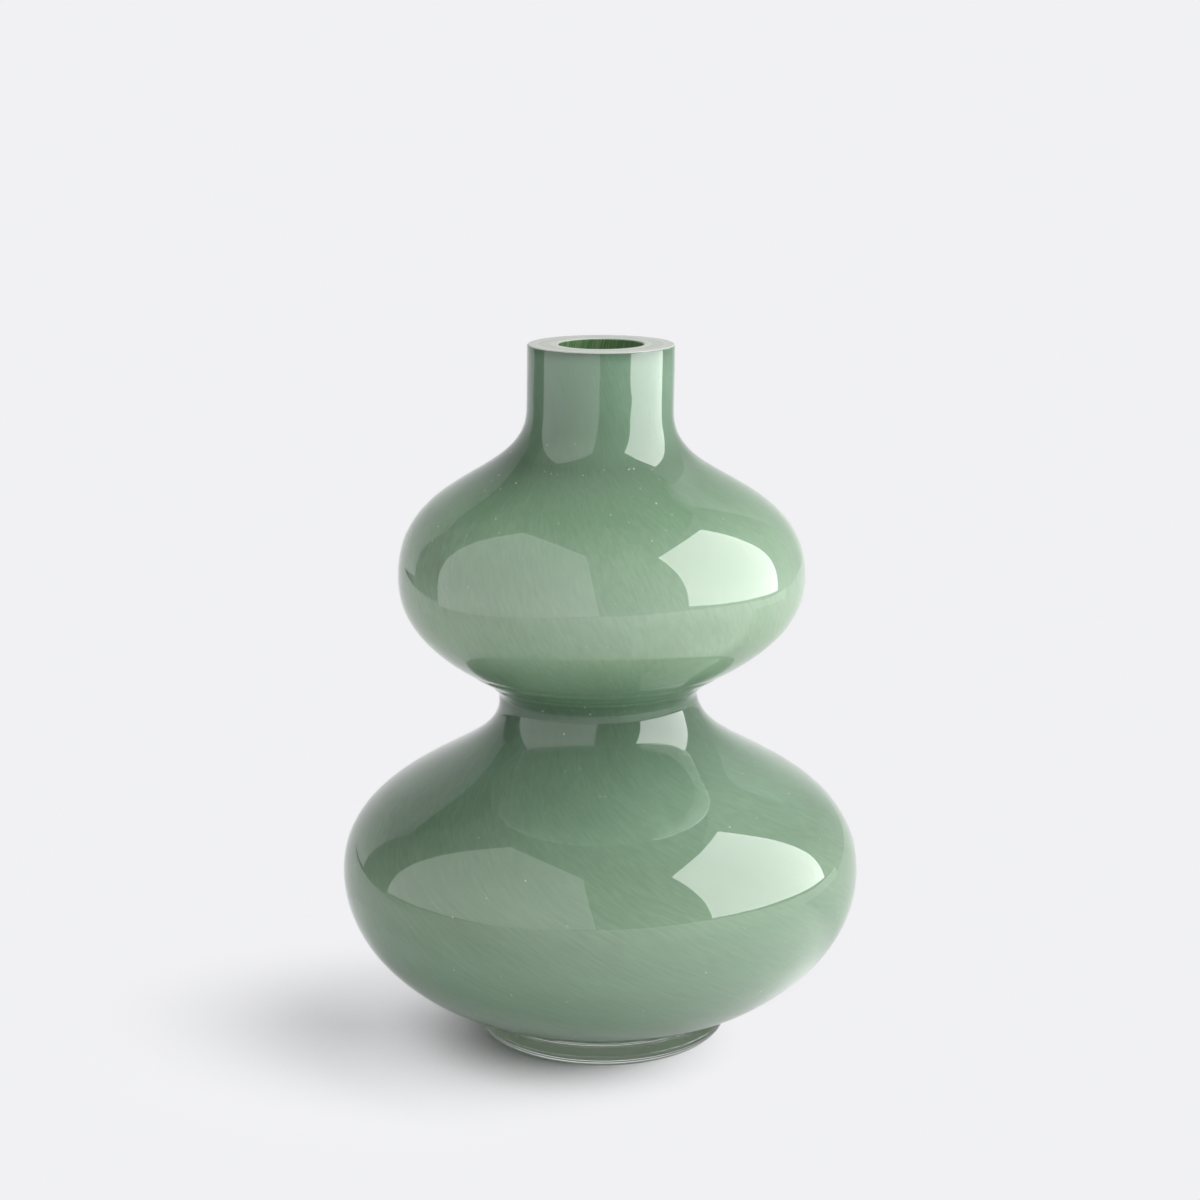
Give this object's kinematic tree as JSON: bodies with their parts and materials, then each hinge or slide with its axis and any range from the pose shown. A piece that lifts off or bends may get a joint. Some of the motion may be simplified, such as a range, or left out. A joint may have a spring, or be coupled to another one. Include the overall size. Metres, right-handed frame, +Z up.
{
  "type": "glass vase",
  "caption": "Double-bulb blown glass vase with a straight cut neck, a drawn-in waist and a clear glass foot, for flower stems.",
  "frame": {"origin": "middle of the ring that the foot stands on, at table level", "axes": "+Z up along the vase's axis; the vase is round, so X and Y may be taken anywhere"},
  "size_m": [0.1624, 0.1624, 0.22],
  "materials": {
    "clear_casing_glass": "clear overlay glass, fire-polished outside, ground and polished flat at the rim",
    "green_opaline_glass": "streaky sage-green opaline glass, opaque to milky, with fine drawn streaks",
    "green_lining_glass": "deep green lining glass, fire-polished inside",
    "clear_foot_glass": "thick clear glass, fire-polished side, ground and polished hollow underneath"
  },
  "bodies": {
    "root": {"clear_casing": "clear_casing_glass", "colour_layer": "green_opaline_glass", "inner_gather": "green_lining_glass", "clear_foot": "clear_foot_glass"}
  },
  "joints": []
}
